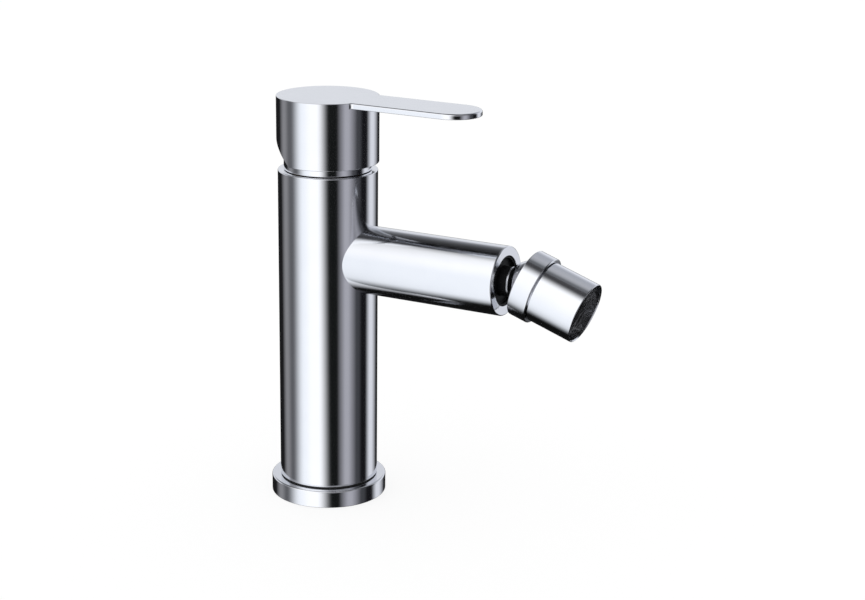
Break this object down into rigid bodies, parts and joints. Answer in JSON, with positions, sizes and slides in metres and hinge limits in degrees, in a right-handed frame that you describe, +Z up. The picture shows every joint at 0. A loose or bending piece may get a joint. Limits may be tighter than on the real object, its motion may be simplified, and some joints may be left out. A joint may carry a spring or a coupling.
{
  "type": "bidet mixer",
  "caption": "Single-lever bidet mixer: round column on a base ring, straight spout with a ball-jointed outlet nozzle, cup handle with a flat lever.",
  "frame": {"origin": "the column's axis on the deck, in the plane of the base ring's underside", "axes": "+Z up along the column's axis, +X along the spout and the closed lever"},
  "size_m": [0.1585, 0.053, 0.1865],
  "materials": {
    "chrome_plate": "polished",
    "bare_brass": "machined",
    "steel": "brushed",
    "rubber": "matte",
    "ceramic_disc": "lapped",
    "white_plastic": "moulded",
    "blue_plastic": "moulded",
    "dark_plastic": "moulded"
  },
  "bodies": {
    "mixer_body": {"base_gasket": "rubber", "base_ring": "chrome_plate", "foot_seal": "rubber", "column": "chrome_plate", "spout": "chrome_plate", "cartridge_base": "white_plastic", "port_seals": "rubber", "fixed_disc": "ceramic_disc", "cartridge_housing": "white_plastic", "cartridge_nut": "bare_brass", "neck_ring": "chrome_plate", "insert_seal": "rubber", "swivel_insert": "dark_plastic"},
    "lever_turntable": {"lever_guide": "white_plastic", "pivot_pin": "steel"},
    "lever_handle": {"spindle": "bare_brass", "handle": "chrome_plate", "handle_grub_screw": "steel", "index_plug": "blue_plastic"},
    "disc_slider": {"moving_disc": "ceramic_disc", "disc_carrier": "blue_plastic"},
    "swivel_stem": {"ball_stem": "chrome_plate", "stem_o_ring": "rubber", "stem_clip": "steel"},
    "outlet_nozzle": {"collar": "chrome_plate", "ball_seat": "white_plastic", "nozzle_sleeve": "chrome_plate", "aerator_washer": "rubber", "aerator_insert": "dark_plastic", "aerator_screen": "dark_plastic"}
  },
  "joints": [
    {"name": "lever_turn", "type": "hinge", "parent": "mixer_body", "child": "lever_turntable", "pos_m": [0, 0, 0.16], "axis": [0, 0, 1], "range_deg": [-50, 50]},
    {"name": "lever_lift", "type": "hinge", "parent": "lever_turntable", "child": "lever_handle", "pos_m": [0, 0, 0.16], "axis": [0, -1, 0], "range_deg": [0, 25]},
    {"name": "disc_slide", "type": "slide", "parent": "lever_turntable", "child": "disc_slider", "axis": [1, 0, 0], "range_m": [0, 0.007]},
    {"name": "swivel_turn", "type": "hinge", "parent": "mixer_body", "child": "swivel_stem", "pos_m": [0.1017, 0, 0.11375], "axis": [1, 0, 0], "continuous": true},
    {"name": "nozzle_tilt", "type": "hinge", "parent": "swivel_stem", "child": "outlet_nozzle", "pos_m": [0.1017, 0, 0.11375], "axis": [0, 1, 0], "range_deg": [-18.9, 14.1]}
  ],
  "couplings": [
    {"joint": "disc_slide", "follows": "lever_lift", "m_per_rad": 0.01598}
  ]
}
